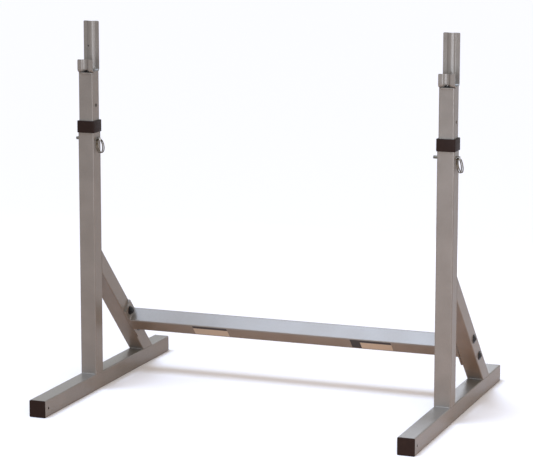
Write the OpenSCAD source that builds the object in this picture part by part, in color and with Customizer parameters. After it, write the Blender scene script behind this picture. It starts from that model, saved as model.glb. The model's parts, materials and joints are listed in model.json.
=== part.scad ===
// Squat stand: two mirrored side frames of square steel tube, tied by a cross beam.
// An inner upright with a bar hook slides in each fixed upright and is held by a ring pin.
// X runs across the stand, Y runs from its front to its back, and Z is up from the floor.

/* [Side frames] */
// Distance between the two uprights, centre to centre
frame_w = 1117.6; // [900:0.1:1300]
// Length of each base, end caps included
base_len = 908; // [820:1:1000]
// Distance from the front end of a base to the middle of its upright
front_reach = 376; // [320:1:400]
// Height of a fixed upright above its base
upright_h = 762; // [740:1:800]
// Distance along the base from an upright to the toe of its brace
brace_reach = 304.8; // [270:0.1:330]
// Angle of a brace above the floor
brace_angle = 45; // [40:1:50]

/* [Frame tubes] */
// Outside size of the square frame tube
tube = 50.8; // [46:0.1:58]
// Wall of the frame tube
tube_wall = 2; // [1.5:0.1:2.5]
// Outside corner radius of the square tubes
corner_r = 3.5; // [3:0.1:5]

/* [Cross beam] */
// Outside size of the cross beam, a square tube turned in line with the braces
beam_tube = 50.8; // [40:0.1:52]
// Wall of the cross beam
beam_wall = 2; // [1.5:0.1:3]
// Height of the middle of the beam above the floor
beam_z = 169; // [150:1:190]
// Thickness of the plate on each end of the beam
plate_t = 5; // [3:0.1:8]
// Length of an end plate along the brace
plate_len = 140; // [126:1:160]
// Corner radius of an end plate
plate_r = 3; // [1:0.1:6]

/* [Bolts] */
// Distance between the two bolts of an end plate
bolt_spacing = 91; // [84:1:100]
// Thread diameter of the bolts
bolt_d = 10; // [8:0.1:11]
// Clearance of the bolt holes over the thread
bolt_gap = 1; // [0.6:0.1:1.5]
// Diameter of the domed bolt heads
head_d = 22; // [18:0.5:25]
// Height of the domed bolt heads
head_h = 5.5; // [4.5:0.1:7]
// Width across the flats of the key socket in a bolt head
socket_w = 6; // [4:0.5:7]
// Depth of the key socket
socket_h = 3; // [2:0.1:4]
// Diameter of the washers
washer_d = 27; // [22:0.5:32]
// Thickness of the washers
washer_t = 2; // [1.2:0.1:3]
// Width across the flats of the nuts
nut_w = 17; // [15:0.5:19]
// Height of the nuts
nut_h = 8; // [6:0.5:10]
// Length of thread that shows past a nut
bolt_tail = 2.5; // [1:0.1:5]

/* [Base ends] */
// Thickness of the end cap that shows outside the tube
cap_t = 2; // [1.2:0.1:4]
// Depth of an end cap inside the tube
cap_depth = 15; // [8:1:16]
// Wall of the hollow plug behind an end cap
cap_wall = 2.5; // [1.5:0.1:4]
// Clearance of a cap's plug in its tube
cap_gap = 0.15; // [0.05:0.05:0.4]
// Diameter of the small hole across the front end of a base
cross_hole_d = 8; // [5:0.5:10]
// Distance from the front end of a base to that hole
cross_hole_in = 23; // [23:1:40]

/* [Height adjustment] */
// Wall of an inner upright
inner_wall = 2; // [1.5:0.1:2.5]
// Clearance on each side between the inner and the fixed upright
slide_gap = 0.4; // [0.3:0.05:0.8]
// Spacing of the height holes
hole_pitch = 101.6; // [90:0.1:104]
// Number of height holes in an inner upright
hole_count = 7; // [4:1:7]
// Hole that the pin is in, counted from the top
hole_in_use = 2; // [2:1:3]
// Distance from the top of an inner upright to its first hole
first_hole = 99; // [70:1:110]
// Distance from the last hole to the bottom of an inner upright
last_hole = 53.4; // [40:0.1:60]
// Diameter of the height holes
hole_d = 11; // [10.5:0.1:11.5]
// Distance from the top of a fixed upright down to its pin
pin_drop = 42; // [36:1:60]

/* [Collar and glide] */
// Wall of the collar outside the fixed upright
collar_wall = 2.8; // [2:0.1:4]
// Height of the collar
collar_h = 36; // [32:1:42]
// Length of the collar's skirt down the fixed upright
collar_skirt = 22; // [18:1:24]
// Clearance of the skirt round the fixed upright
skirt_gap = 0.15; // [0.05:0.05:0.4]
// Clearance of the collar round the inner upright
guide_gap = 0.2; // [0.1:0.05:0.3]
// Thickness of the glide under an inner upright
glide_t = 3; // [2:0.1:6]
// Depth of the glide inside an inner upright
glide_depth = 18; // [10:1:24]
// Wall of the glide's hollow plug
glide_wall = 3; // [2:0.1:5]

/* [Locking pin] */
// Diameter of the locking pin
pin_d = 9.5; // [8.5:0.1:9.8]
// Length of pin that shows past the upright at its tip
pin_tip = 17.6; // [15:0.1:22]
// Chamfer of the pin's tip
pin_chamfer = 1.2; // [0.5:0.1:2]
// Diameter of the pin's head
pin_head_d = 12; // [11.8:0.1:14]
// Clearance of the pin's head and of other moving faces
running_gap = 0.3; // [0.3:0.05:0.5]
// Diameter of the cross hole for the ring
ring_hole_d = 8; // [7.9:0.1:8.4]
// Metal left on each side of the cross hole along the pin
ring_hole_land = 0.9; // [0.7:0.1:2]
// Diameter of the detent ball near the tip
ball_d = 4; // [3:0.1:4.4]
// Height that the ball stands proud of the pin, pressed in as it is on its way through the holes
ball_proud = 0.45; // [0.3:0.05:0.45]
// Clearance of the ball in its drilling
ball_gap = 0.1; // [0.05:0.05:0.2]
// Distance from the pin's tip to the middle of the ball
ball_in = 6; // [5:0.1:8]
// Metal left under the ball's drilling
ball_floor = 1.5; // [1:0.1:2]

/* [Pull ring] */
// Outside diameter of the split ring
ring_d = 45; // [40:0.5:52]
// Wire diameter of the split ring
ring_wire = 3.2; // [2.2:0.1:3.2]
// Gap between the two turns of the split ring
ring_split = 0.6; // [0.4:0.05:0.6]
// Angle at which the ring leans away from the upright
ring_lean = 12; // [5:1:30]

/* [Bar hooks] */
// Width of the hook's steel strip
hook_w = 49; // [46:0.5:56]
// Thickness of the strip
hook_t = 3; // [2.5:0.1:4]
// Height of the hook's back above the inner upright
hook_back_h = 152; // [120:1:170]
// Height of the hook's lip above the inner upright
hook_lip_h = 39.3; // [32:0.1:50]
// Distance between the flat faces of the back and the lip
hook_gap = 43.5; // [42:0.1:50]
// Inside radius of the hook's two bends
hook_bend = 8.5; // [8:0.1:12]
// Corner radius at the top of the back and the lip
hook_corner = 3; // [1:0.1:6]
// Width of the rib pressed along the middle of the strip
rib_w = 24; // [20:0.5:27]
// Height of the rib
rib_h = 6.5; // [5:0.1:7]
// Diameter of the drain hole in the left hook
drain_d = 5; // [3:0.1:6]
// Height of the drain hole above the inner upright
drain_z = 77; // [60:1:110]

/* [Hidden] */

$fn = 64;
over = 5;                                            // how far a cutter runs past what it cuts
min_inner_r = 0.8;                                   // least inside corner radius of a tube
grey = [0.60, 0.60, 0.59];
black = [0.13, 0.12, 0.12];
zinc = [0.72, 0.70, 0.66];
nickel = [0.62, 0.56, 0.47];

base_top = tube;
upright_y = -base_len / 2 + front_reach;
tube_bore = tube - 2 * tube_wall;
base_tube_len = base_len - 2 * cap_t;
sleeve_top = base_top + upright_h;

// The brace's own axes: z runs up the brace from its toe, and y is square to its lower face.
toe_y = upright_y + tube / 2 + brace_reach;
brace_mid = tube / 2;
brace_span = (brace_reach + tube) / cos(brace_angle) + 2 * tube;
beam_along = (beam_z - base_top - cos(brace_angle) * brace_mid) / sin(brace_angle);
beam_len = frame_w - tube - 2 * plate_t;
bolt_hole_d = bolt_d + bolt_gap;

// The inner upright, from the pin up and down.
inner = tube_bore - 2 * slide_gap;
inner_bore = inner - 2 * inner_wall;
pin_z = sleeve_top - pin_drop;
inner_top = pin_z + (hole_in_use - 1) * hole_pitch + first_hole;
inner_len = first_hole + (hole_count - 1) * hole_pitch + last_hole;
inner_bottom = inner_top - inner_len;
collar_r = corner_r + collar_wall / 3;               // outside corner radius of the collar

// The pin, measured along X from the middle of its upright.
pin_start = -tube / 2 - pin_tip;
head_start = tube / 2 + running_gap;
ring_x = head_start + ring_hole_land + ring_hole_d / 2;
head_end = ring_x + ring_hole_d / 2 + ring_hole_land;
ball_x = pin_start + ball_in;
ball_z = pin_z + pin_d / 2 + ball_proud - ball_d / 2;
ball_seat_z = pin_z - pin_d / 2 + ball_floor;
spring_wire = 0.5;                                   // wire of the detent spring
spring_d = ball_d - 2 * ball_gap;                    // outside diameter of the detent spring
spring_turns = 4;
spring_steps = 12;                                   // straight pieces in one turn of the spring
spring_len = ball_z - ball_d / 2 - ball_seat_z - spring_wire;
ring_r = (ring_d - ring_wire) / 2;
ring_step = ring_wire + ring_split;
ring_end = 18;                                       // angle of the first end of the ring's wire
ring_piece = 9;                                      // angle of one straight piece of the wire
step_from = 345;                                     // angle at which the wire starts to step over
step_over = 30;                                      // angle that the step takes

// The hook, measured from the middle of the inner upright and from its top.
back_y = inner / 2;                                  // rear face of the back
seat_z = inner_top;                                  // under side of the hook's floor
lip_y = back_y - 2 * hook_t - hook_gap;              // front face of the lip
bend_z = seat_z + hook_t + hook_bend;                // height of the bends' centres
rib_r = ((rib_w / 2) * (rib_w / 2) + rib_h * rib_h) / (2 * rib_h);
rib_sink = rib_r - rib_h;                            // depth of the rib's centre under the strip's face
drain_x = -rib_w / 3;

// Square with rounded corners, centred.
module rounded_square(size, r) {
    square([size, size - 2 * r], center = true);
    square([size - 2 * r, size], center = true);
    for (x = [-1, 1], y = [-1, 1])
        translate([x * (size / 2 - r), y * (size / 2 - r)]) circle(r);
}

// Section of a square tube.
module tube_section(size, wall, r) {
    difference() {
        rounded_square(size, r);
        rounded_square(size - 2 * wall, max(r - wall, min_inner_r));
    }
}

// Puts its children at the foot of one upright, with X and Y from its middle.
module at_upright(side) {
    translate([side * frame_w / 2, upright_y, 0]) children();
}

// The same, with X turned to point away from the middle of the stand.
module outward(side) {
    translate([side * frame_w / 2, 0, 0]) mirror([side < 0 ? 1 : 0, 0, 0]) children();
}

// Puts its children in the brace's own axes.
module along_brace() {
    translate([0, toe_y, base_top]) rotate([90 - brace_angle, 0, 0]) children();
}

// A cylinder along X from x0 to x1.
module bar_x(d, x0, x1) {
    translate([x0, 0, 0]) rotate([0, 90, 0]) cylinder(d = d, h = x1 - x0);
}

// Places children at the two bolts of an end plate, in the brace's own axes.
module at_bolts() {
    for (s = [-1, 1]) translate([0, brace_mid, beam_along + s * bolt_spacing / 2]) children();
}

module base_tube(side) {
    color(grey)
    difference() {
        translate([side * frame_w / 2, base_tube_len / 2, tube / 2])
            rotate([90, 0, 0]) linear_extrude(base_tube_len) tube_section(tube, tube_wall, corner_r);
        translate([side * frame_w / 2, -base_len / 2 + cross_hole_in, tube / 2])
            bar_x(cross_hole_d, -tube / 2 - over, tube / 2 + over);
    }
}

module fixed_upright(side) {
    color(grey)
    at_upright(side)
    difference() {
        translate([0, 0, base_top]) linear_extrude(upright_h) tube_section(tube, tube_wall, corner_r);
        translate([0, 0, pin_z]) bar_x(hole_d, -tube / 2 - over, tube / 2 + over);
    }
}

// The brace runs from the back of the upright to the top of the base, and is cut flat against both.
module brace(side) {
    reach = brace_reach + 4 * tube;
    color(grey)
    outward(side)
    difference() {
        along_brace() translate([0, brace_mid, -2 * tube])
            linear_extrude(brace_span + 2 * tube) tube_section(tube, tube_wall, corner_r);
        translate([-tube, upright_y + tube / 2 - reach, -over]) cube([2 * tube, reach, 3 * reach]);
        translate([-tube, upright_y, base_top - reach]) cube([2 * tube, 3 * reach, reach]);
        along_brace() at_bolts() bar_x(bolt_hole_d, -tube / 2 - over, tube / 2 + over);
    }
}

// Square end cap: a plate the size of the tube and a hollow plug inside it.
// It is drawn with its plate on the XY plane and the plug upwards.
module end_cap() {
    plug = tube_bore - 2 * cap_gap;
    plug_r = max(corner_r - tube_wall, min_inner_r);
    difference() {
        union() {
            linear_extrude(cap_t) rounded_square(tube, corner_r);
            linear_extrude(cap_t + cap_depth) rounded_square(plug, plug_r);
        }
        translate([0, 0, cap_t + cap_wall])
            linear_extrude(cap_depth + over) rounded_square(plug - 2 * cap_wall, plug_r);
    }
}

module front_cap(side) {
    color(black) translate([side * frame_w / 2, -base_len / 2, tube / 2]) rotate([-90, 0, 0]) end_cap();
}

module rear_cap(side) {
    color(black) translate([side * frame_w / 2, base_len / 2, tube / 2]) rotate([90, 0, 0]) end_cap();
}

// The collar hangs on the top edge of the fixed upright and guides the inner one.
module collar(side) {
    color(black)
    at_upright(side)
    difference() {
        translate([0, 0, sleeve_top - collar_skirt])
            linear_extrude(collar_h) rounded_square(tube + 2 * collar_wall, collar_r);
        translate([0, 0, sleeve_top - collar_skirt - over])
            linear_extrude(collar_skirt + over) rounded_square(tube + 2 * skirt_gap, corner_r);
        translate([0, 0, sleeve_top - over])
            linear_extrude(collar_h + over) rounded_square(inner + 2 * guide_gap, corner_r - guide_gap);
    }
}

module cross_beam() {
    color(grey)
    along_brace() translate([-beam_len / 2, brace_mid, beam_along])
        rotate([0, 90, 0]) linear_extrude(beam_len) tube_section(beam_tube, beam_wall, corner_r);
}

module end_plate(side) {
    color(grey)
    outward(side) along_brace()
    difference() {
        translate([-tube / 2 - plate_t, brace_mid, beam_along])
            rotate([0, 90, 0]) linear_extrude(plate_t) {
                square([plate_len, tube - 2 * plate_r], center = true);
                square([plate_len - 2 * plate_r, tube], center = true);
                for (x = [-1, 1], y = [-1, 1])
                    translate([x * (plate_len / 2 - plate_r), y * (tube / 2 - plate_r)]) circle(plate_r);
            }
        at_bolts() bar_x(bolt_hole_d, -tube / 2 - plate_t - over, 0);
    }
}

// Domed bolt: the head outside the brace, the thread through brace and plate.
module bolt() {
    head_x = tube / 2 + washer_t;
    dome_r = (head_d * head_d / 4 + head_h * head_h) / (2 * head_h);
    tail_x = -tube / 2 - plate_t - washer_t - nut_h - bolt_tail;
    difference() {
        union() {
            translate([head_x, 0, 0]) rotate([0, 90, 0]) rotate_extrude() intersection() {
                translate([0, head_h - dome_r]) circle(dome_r);
                square([head_d / 2, head_h]);
            }
            bar_x(bolt_d, tail_x, head_x + head_h / 4);
        }
        translate([head_x + head_h - socket_h, 0, 0]) rotate([0, 90, 0])
            cylinder(d = socket_w / cos(30), h = socket_h + over, $fn = 6);
    }
}

module bolts(side) {
    color(black) outward(side) along_brace() at_bolts() bolt();
}

module washers(side) {
    color(black) outward(side) along_brace() at_bolts()
        for (x = [tube / 2, -tube / 2 - plate_t - washer_t])
            difference() {
                bar_x(washer_d, x, x + washer_t);
                bar_x(bolt_hole_d, x - over, x + washer_t + over);
            }
}

module nuts(side) {
    nut_x = -tube / 2 - plate_t - washer_t - nut_h;
    color(black) outward(side) along_brace() at_bolts()
        difference() {
            translate([nut_x, 0, 0]) rotate([0, 90, 0]) cylinder(d = nut_w / cos(30), h = nut_h, $fn = 6);
            bar_x(bolt_d + 2 * cap_gap, nut_x - over, nut_x + nut_h + over);
        }
}

module inner_upright(side) {
    color(grey)
    at_upright(side)
    difference() {
        translate([0, 0, inner_bottom]) linear_extrude(inner_len) tube_section(inner, inner_wall, corner_r);
        for (i = [0:hole_count - 1])
            translate([0, 0, inner_top - first_hole - i * hole_pitch])
                bar_x(hole_d, -inner / 2 - over, inner / 2 + over);
    }
}

// The glide closes the bottom of the inner upright and keeps it off the fixed one.
module glide(side) {
    plug = inner_bore - 2 * cap_gap;
    plug_r = max(corner_r - inner_wall, min_inner_r);
    color(black)
    at_upright(side)
    difference() {
        union() {
            translate([0, 0, inner_bottom - glide_t])
                linear_extrude(glide_t) rounded_square(tube_bore - 2 * guide_gap, corner_r);
            translate([0, 0, inner_bottom - glide_t])
                linear_extrude(glide_t + glide_depth) rounded_square(plug, plug_r);
        }
        translate([0, 0, inner_bottom + glide_wall])
            linear_extrude(glide_depth + over) rounded_square(plug - 2 * glide_wall, plug_r);
    }
}

// Section of the hook's strip: X across it, Y towards the bar, with the bar face at Y = 0.
// The pressed rib is one arc over another about the same centre.
module strip_section() {
    difference() {
        union() {
            translate([-hook_w / 2, -hook_t]) square([hook_w, hook_t]);
            intersection() {
                translate([0, -rib_sink]) circle(rib_r);
                translate([-rib_w, -hook_t / 2]) square([2 * rib_w, rib_h + hook_t]);
            }
        }
        translate([0, -rib_sink]) circle(rib_r - hook_t);
    }
}

// A straight stretch of strip that stands on the XY plane, with its top corners rounded.
module strip_up(length) {
    half = hook_w / 2;
    intersection() {
        linear_extrude(length) strip_section();
        translate([0, rib_h + over, 0]) rotate([90, 0, 0]) linear_extrude(rib_h + hook_t + 2 * over) {
            translate([-half, -over]) square([hook_w, length + over - hook_corner]);
            translate([-half + hook_corner, 0]) square([hook_w - 2 * hook_corner, length]);
            for (s = [-1, 1]) translate([s * (half - hook_corner), length - hook_corner]) circle(hook_corner);
        }
    }
}

// A quarter bend of strip about X, from the floor of the hook up to its back.
module strip_bend() {
    rotate([0, 90, 0]) rotate_extrude(angle = 90)
        translate([hook_bend, 0]) rotate(90) strip_section();
}

// The hook: back, bend, floor, bend and lip, with the rib towards the bar all the way.
module bar_hook(side) {
    floor_len = hook_gap - 2 * hook_bend;
    color(grey)
    at_upright(side)
    difference() {
        union() {
            translate([0, back_y - hook_t, bend_z]) rotate([0, 0, 180])
                strip_up(seat_z + hook_back_h - bend_z);
            translate([0, lip_y + hook_t, bend_z]) strip_up(seat_z + hook_lip_h - bend_z);
            translate([0, back_y - hook_t - hook_bend, seat_z + hook_t])
                rotate([90, 0, 0]) linear_extrude(floor_len) strip_section();
            translate([0, back_y - hook_t - hook_bend, bend_z]) strip_bend();
            translate([0, lip_y + hook_t + hook_bend, bend_z]) mirror([0, 1, 0]) strip_bend();
        }
        if (side < 0)
            translate([drain_x, back_y + over, seat_z + drain_z])
                rotate([90, 0, 0]) cylinder(d = drain_d, h = hook_t + rib_h + 2 * over);
    }
}

module locking_pin(side) {
    color(zinc)
    at_upright(side)
    difference() {
        translate([0, 0, pin_z]) {
            translate([pin_start, 0, 0]) rotate([0, 90, 0])
                cylinder(d1 = pin_d - 2 * pin_chamfer, d2 = pin_d, h = pin_chamfer);
            bar_x(pin_d, pin_start + pin_chamfer, head_start);
            bar_x(pin_head_d, head_start, head_end);
        }
        translate([ring_x, pin_head_d, pin_z])
            rotate([90, 0, 0]) cylinder(d = ring_hole_d, h = 2 * pin_head_d);
        translate([ball_x, 0, ball_seat_z]) cylinder(d = ball_d + 2 * ball_gap, h = pin_d + over);
    }
}

module detent_ball(side) {
    color(zinc) at_upright(side) translate([ball_x, 0, ball_z]) sphere(d = ball_d);
}

// A round wire along frames of [centre, first normal, second normal], closed at both ends.
module wire(frames, r, sides) {
    n = len(frames);
    points = [for (f = frames, k = [0:sides - 1])
        f[0] + r * cos(360 * k / sides) * f[1] + r * sin(360 * k / sides) * f[2]];
    skin = [for (i = [0:n - 2], k = [0:sides - 1])
        let (a = i * sides + k, b = i * sides + (k + 1) % sides)
        each [[a, b, b + sides], [a, b + sides, a + sides]]];
    first_end = [for (k = [1:sides - 2]) [0, k + 1, k]];
    last_end = [for (k = [1:sides - 2]) [0, k, k + 1] + (n - 1) * sides * [1, 1, 1]];
    polyhedron(points, concat(skin, first_end, last_end), convexity = 6);
}

// The detent spring is a helix between the ball and the bottom of its drilling.
module detent_spring(side) {
    steps = spring_turns * spring_steps;
    r = (spring_d - spring_wire) / 2;
    rise = (spring_len - spring_wire) / steps;
    frames = [for (i = [0:steps]) let (a = 360 / spring_steps * i)
        [[r * cos(a), r * sin(a), spring_wire + rise * i], [0, 0, 1], [cos(a), sin(a), 0]]];
    color(zinc) at_upright(side) translate([ball_x, 0, ball_seat_z]) wire(frames, spring_wire / 2, 6);
}

// How much of the step from the ring's first turn to its second the wire has made at an angle, from 0 to 1.
function stepped(a) = let (t = min(max((a - step_from) / step_over, 0), 1)) 3 * t * t - 2 * t * t * t;

// Where the wire lies along the ring's axis: one flat turn, a short step over, a second flat turn.
function ring_side(a) = ring_step * (stepped(a) - 0.5);

// The ring hangs from the cross hole: 0 degrees along the wire is its lowest point.
module pull_ring(side) {
    frames = [for (a = [ring_end:ring_piece:720 - ring_end])
        [[ring_side(a), ring_r * sin(a), -ring_r * cos(a) - ring_r], [1, 0, 0], [0, sin(a), -cos(a)]]];
    color(nickel)
    at_upright(side) translate([ring_x, 0, pin_z]) rotate([0, -ring_lean, 0])
        wire(frames, ring_wire / 2, 8);
}

base_tube(-1);  // left_base_tube
base_tube(1);  // right_base_tube
fixed_upright(-1);  // left_fixed_upright
fixed_upright(1);  // right_fixed_upright
brace(-1);  // left_brace
brace(1);  // right_brace
front_cap(-1);  // left_front_cap
front_cap(1);  // right_front_cap
rear_cap(-1);  // left_rear_cap
rear_cap(1);  // right_rear_cap
collar(-1);  // left_collar
collar(1);  // right_collar
cross_beam();
end_plate(-1);  // left_end_plate
end_plate(1);  // right_end_plate
bolts(-1);  // left_bolts
bolts(1);  // right_bolts
washers(-1);  // left_washers
washers(1);  // right_washers
nuts(-1);  // left_nuts
nuts(1);  // right_nuts
inner_upright(-1);  // left_inner_upright
inner_upright(1);  // right_inner_upright
glide(-1);  // left_glide
glide(1);  // right_glide
bar_hook(-1);  // left_bar_hook
bar_hook(1);  // right_bar_hook
locking_pin(-1);  // left_locking_pin
locking_pin(1);  // right_locking_pin
detent_ball(-1);  // left_detent_ball
detent_ball(1);  // right_detent_ball
detent_spring(-1);  // left_detent_spring
detent_spring(1);  // right_detent_spring
pull_ring(-1);  // left_pull_ring
pull_ring(1);  // right_pull_ring
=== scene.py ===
"""Dresses a squat stand of powder-coated tube and sets it in a plain white studio.

Every length is in metres. X runs across the stand, Y from its front to its back, and Z is up from the floor.
"""

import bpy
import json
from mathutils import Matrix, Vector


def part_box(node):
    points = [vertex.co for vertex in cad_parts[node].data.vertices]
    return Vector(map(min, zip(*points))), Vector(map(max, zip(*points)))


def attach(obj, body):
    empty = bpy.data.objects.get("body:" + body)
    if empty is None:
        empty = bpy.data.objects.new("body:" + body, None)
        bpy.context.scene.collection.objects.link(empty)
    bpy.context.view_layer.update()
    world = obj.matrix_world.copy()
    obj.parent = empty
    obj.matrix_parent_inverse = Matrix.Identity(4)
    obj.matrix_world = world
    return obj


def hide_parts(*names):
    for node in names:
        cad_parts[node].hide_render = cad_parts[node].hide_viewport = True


bl_info = {
    "name": "Squat Stand Finish",
    "version": (1, 0, 0),
    "blender": (4, 5, 0),
    "location": "View3D > Sidebar > Squat Stand",
    "description": "Gives a squat stand its paint, plastics, welds and small parts, and a plain studio",
    "category": "Object",
}

import json
import math

import bmesh
import bpy
import numpy as np
from bpy.props import FloatProperty, FloatVectorProperty, PointerProperty
from mathutils import Matrix

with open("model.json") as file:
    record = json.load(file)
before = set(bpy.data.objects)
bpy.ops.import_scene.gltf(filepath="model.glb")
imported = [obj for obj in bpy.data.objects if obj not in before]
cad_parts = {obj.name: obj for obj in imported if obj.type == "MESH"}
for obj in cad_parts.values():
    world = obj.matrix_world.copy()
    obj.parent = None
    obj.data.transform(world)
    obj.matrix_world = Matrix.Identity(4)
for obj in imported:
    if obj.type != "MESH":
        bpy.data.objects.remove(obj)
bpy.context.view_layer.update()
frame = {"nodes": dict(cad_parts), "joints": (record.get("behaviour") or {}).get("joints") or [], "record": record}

MM = 0.001
# The two side frames, and which way along X is outwards for each
OUTWARD = {"left": -1, "right": 1}
ACROSS, BACK, UP = np.eye(3)
DIAGONAL = math.sqrt(0.5)
FRONT_UP = DIAGONAL * (UP - BACK)
FRONT_DOWN = -DIAGONAL * (UP + BACK)
QUARTER = math.pi / 2
FLOOR_REACH = 40.0
# A square tube on edge is lower than its diagonal by this many corner radii at each end.
CORNER_LOSS = math.sqrt(2) - 1
# A brace cut at 45 degrees is this many times as long as it is wide, where it stands on the base.
TOE_SPAN = math.sqrt(2)
# The depth of a thread as a share of its pitch
THREAD_DEPTH = 0.6
# Nearly all of a noise pattern lies in this span.
NOISE_SPAN = {"From Min": 0.3, "From Max": 0.7}
# Edges of the hooks that bend by more than this many degrees are rounded.
ROUNDED_ABOVE = 50
# The welds beside an upright lie over the base's round corners, this many corner radii inwards and down.
# Their walls run this many legs outwards and up.
GROOVE_IN, GROOVE_DOWN, GROOVE_LEG = 0.55, 0.35, 0.8
GROOVE_WALLS = (0.62, -0.45), (0.55, 0.62)
# The welds across the foot of a hook have two walls that run this many legs outwards and up.
HOOK_WALLS = (0.9, 0.25), (0.55, -0.75)
HOOK_SIDE_WALL = 0.6
# Width, height, place, and turn about Z in degrees, of the soft boxes in front of the stand and behind it
FRONT_BOX = 3.2, 1.3, (1.65, -2.85, 1.0), 31
REAR_BOX = 0.9, 0.6, (-0.45, 2.8, 1.0), 180


def linear(hex_colour):
    """An sRGB hex colour as linear red, green and blue."""
    values = np.array([int(hex_colour[i:i + 2], 16) for i in (1, 3, 5)]) / 255
    return tuple(np.where(values <= 0.04045, values / 12.92, ((values + 0.055) / 1.055) ** 2.4))


def number(name, description, default, **kind):
    """A property that holds a number."""
    return FloatProperty(name=name, description=description, default=default, **kind)


def length(name, description, millimetres):
    """A property that holds a length, given in millimetres."""
    return number(name, description, millimetres * MM, precision=5, unit="LENGTH", subtype="DISTANCE")


def degrees(name, description, default):
    """A property that holds an angle, given in degrees."""
    return number(name, description, math.radians(default), subtype="ANGLE")


def colour(name, description, hex_colour):
    """A property that holds a colour."""
    return FloatVectorProperty(
        name=name, description=description, default=linear(hex_colour), size=3, min=0, max=1, subtype="COLOR")


def node_box(name):
    """The lowest and the highest corner of a node, as two arrays."""
    low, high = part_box(name)
    return np.array(low), np.array(high)


class TubeSizes(bpy.types.PropertyGroup):
    """Sizes of the frame's tubes that the looks need."""
    corner: length("Corner", "Outside corner radius of the square tubes", 3.5)
    wall: length("Wall", "Wall of the tubes", 2)


class HookSizes(bpy.types.PropertyGroup):
    """Sizes of the pressed bar hooks."""
    thickness: length("Thickness", "Thickness of the steel strip", 3)
    bend: length("Bend", "Inside radius of the two bends", 8.5)
    corner: length("Corner", "Corner radius at the strip's ends", 3)
    rib_width: length("Rib width", "Width of the pressed rib", 24)
    rib_height: length("Rib height", "Height of the pressed rib", 6.5)
    rib_fillet: length("Rib fillet", "Radius where the rib runs into the flat", 2.2)
    edge: length("Edge", "Rounding of the strip's cut edges", 0.5)
    lip_height: length("Lip height", "Height of the hook's lip above the inner upright", 39.3)
    drain: length("Drain", "Diameter of the drain hole in the left hook", 5)
    drain_height: length("Drain height", "Height of the drain hole above the inner upright", 77)
    drain_aside: length("Drain aside", "Distance of the drain hole from the middle of the rib", 8)
    drain_floor: length("Drain floor", "Steel left behind the drain hole", 1.2)


class RingSizes(bpy.types.PropertyGroup):
    """Sizes of the split rings on the locking pins."""
    outside: length("Outside", "Outside diameter of a ring", 45)
    wire: length("Wire", "Diameter of the wire", 3.2)
    split: length("Split", "Gap between the ring's two turns at its top", 0.6)
    gape: length("Gape", "How much wider that gap is at the ring's lowest point", 1.6)
    lean: degrees("Lean", "Angle of a ring away from its upright", 12)


class MouldedSizes(bpy.types.PropertyGroup):
    """Sizes of the moulded collars and caps."""
    collar_wall: length("Collar wall", "Wall of a collar outside the fixed upright", 2.8)
    collar_skirt: length("Collar skirt", "Length of a collar down the fixed upright", 22)
    collar_guide: length("Collar guide", "Clearance of a collar round the inner upright", 0.2)
    collar_edge: length("Collar edge", "Rounding of a collar's rims", 1.6)
    cap_plate: length("Cap plate", "Thickness of the part of a cap that shows", 2)
    cap_edge: length("Cap edge", "Rounding of a cap's rim", 0.9)
    cap_wall: length("Cap wall", "Wall of a cap's plug", 2.5)
    cap_gap: length("Cap gap", "Clearance of a cap's plug", 0.15)


class WeldSizes(bpy.types.PropertyGroup):
    """Sizes of the weld beads."""
    leg: length("Leg", "Leg of a weld bead", 4.5)
    small_leg: length("Small leg", "Leg of the beads under the hooks", 2.2)
    foot_leg: length("Foot leg", "Leg of the beads across the feet of the uprights", 1.5)
    ripple: length("Ripple", "Distance between two ripples of a bead", 3.2)
    depth: number("Depth", "Depth of the ripples as a share of the leg", 0.13, min=0, max=1, subtype="FACTOR")
    fill: length("Fill", "Thickness of the weld metal that closes a hook's channel", 3)


class LabelSizes(bpy.types.PropertyGroup):
    """Sizes of the two blank labels on the cross beam."""
    height: length("Height", "Height of a label across the beam's face", 42.2)
    band: length("Band", "Height of the dark band along a label's upper edge", 11)
    rise: length("Rise", "Height of a label's middle above the middle of the beam's face", 2)
    left_start: length("Left start", "Where the left label starts along X", -317)
    left_end: length("Left end", "Where the left label ends along X", -203)
    right_start: length("Right start", "Where the right label starts along X", 197.5)
    right_end: length("Right end", "Where the right label ends along X", 327)
    tab: length("Tab", "Length of the dark end of the right label", 30.5)
    thickness: length("Thickness", "Thickness of a label", 0.25)
    edge: length("Edge", "Rounding of a label's edge", 0.1)
    corner: length("Corner", "Corner radius of a label", 0.6)


class FastenerSizes(bpy.types.PropertyGroup):
    """Sizes of the domed bolts and the nuts."""
    nut_across: length("Nut", "Width of a nut across its flats", 17)
    nut_height: length("Nut height", "Height of a nut", 8)
    thread: length("Thread", "Diameter of the thread", 10)
    pitch: length("Pitch", "Distance between two turns of the thread", 1.5)
    threaded: length("Threaded", "Length of the bolt that has a thread", 18)
    head: length("Head", "Diameter of a domed bolt head", 22)
    head_height: length("Head height", "Height of a domed bolt head", 5.5)
    socket: length("Socket", "Width of the key socket across its flats", 6)
    socket_depth: length("Socket depth", "Depth of the key socket", 3.2)


class FinishColours(bpy.types.PropertyGroup):
    """Colours of the stand's finishes."""
    paint: colour("Paint", "Silver-grey powder coat", "#76726b")
    paint_flake: colour("Paint flake", "Bright flake in the powder coat", "#96928b")
    plastic: colour("Plastic", "Black moulded plastic", "#251b17")
    bolt: colour("Bolt", "Black oxide steel", "#252322")
    zinc: colour("Zinc", "Zinc-plated steel", "#c4c0b8")
    tip: colour("Tip", "Worn steel at the tips of the locking pins", "#5f5b52")
    # Nickel-plated wire given a dark bronze-brown tone: a painted reflection of a warm floor
    wire: colour("Wire", "Bronze-brown plated wire", "#5f5445")
    # Bare steel made darker as painted shade inside the base tubes and their holes, and painted shade in the blind
    # drain hole
    bare_and_shade: colour("Bare", "Bare steel inside the base tubes and in the drilled holes", "#1d1613")
    label: colour("Label", "Pale face of the labels", "#b5b8b2")
    band: colour("Band", "Dark band of the labels", "#251b17")


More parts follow.
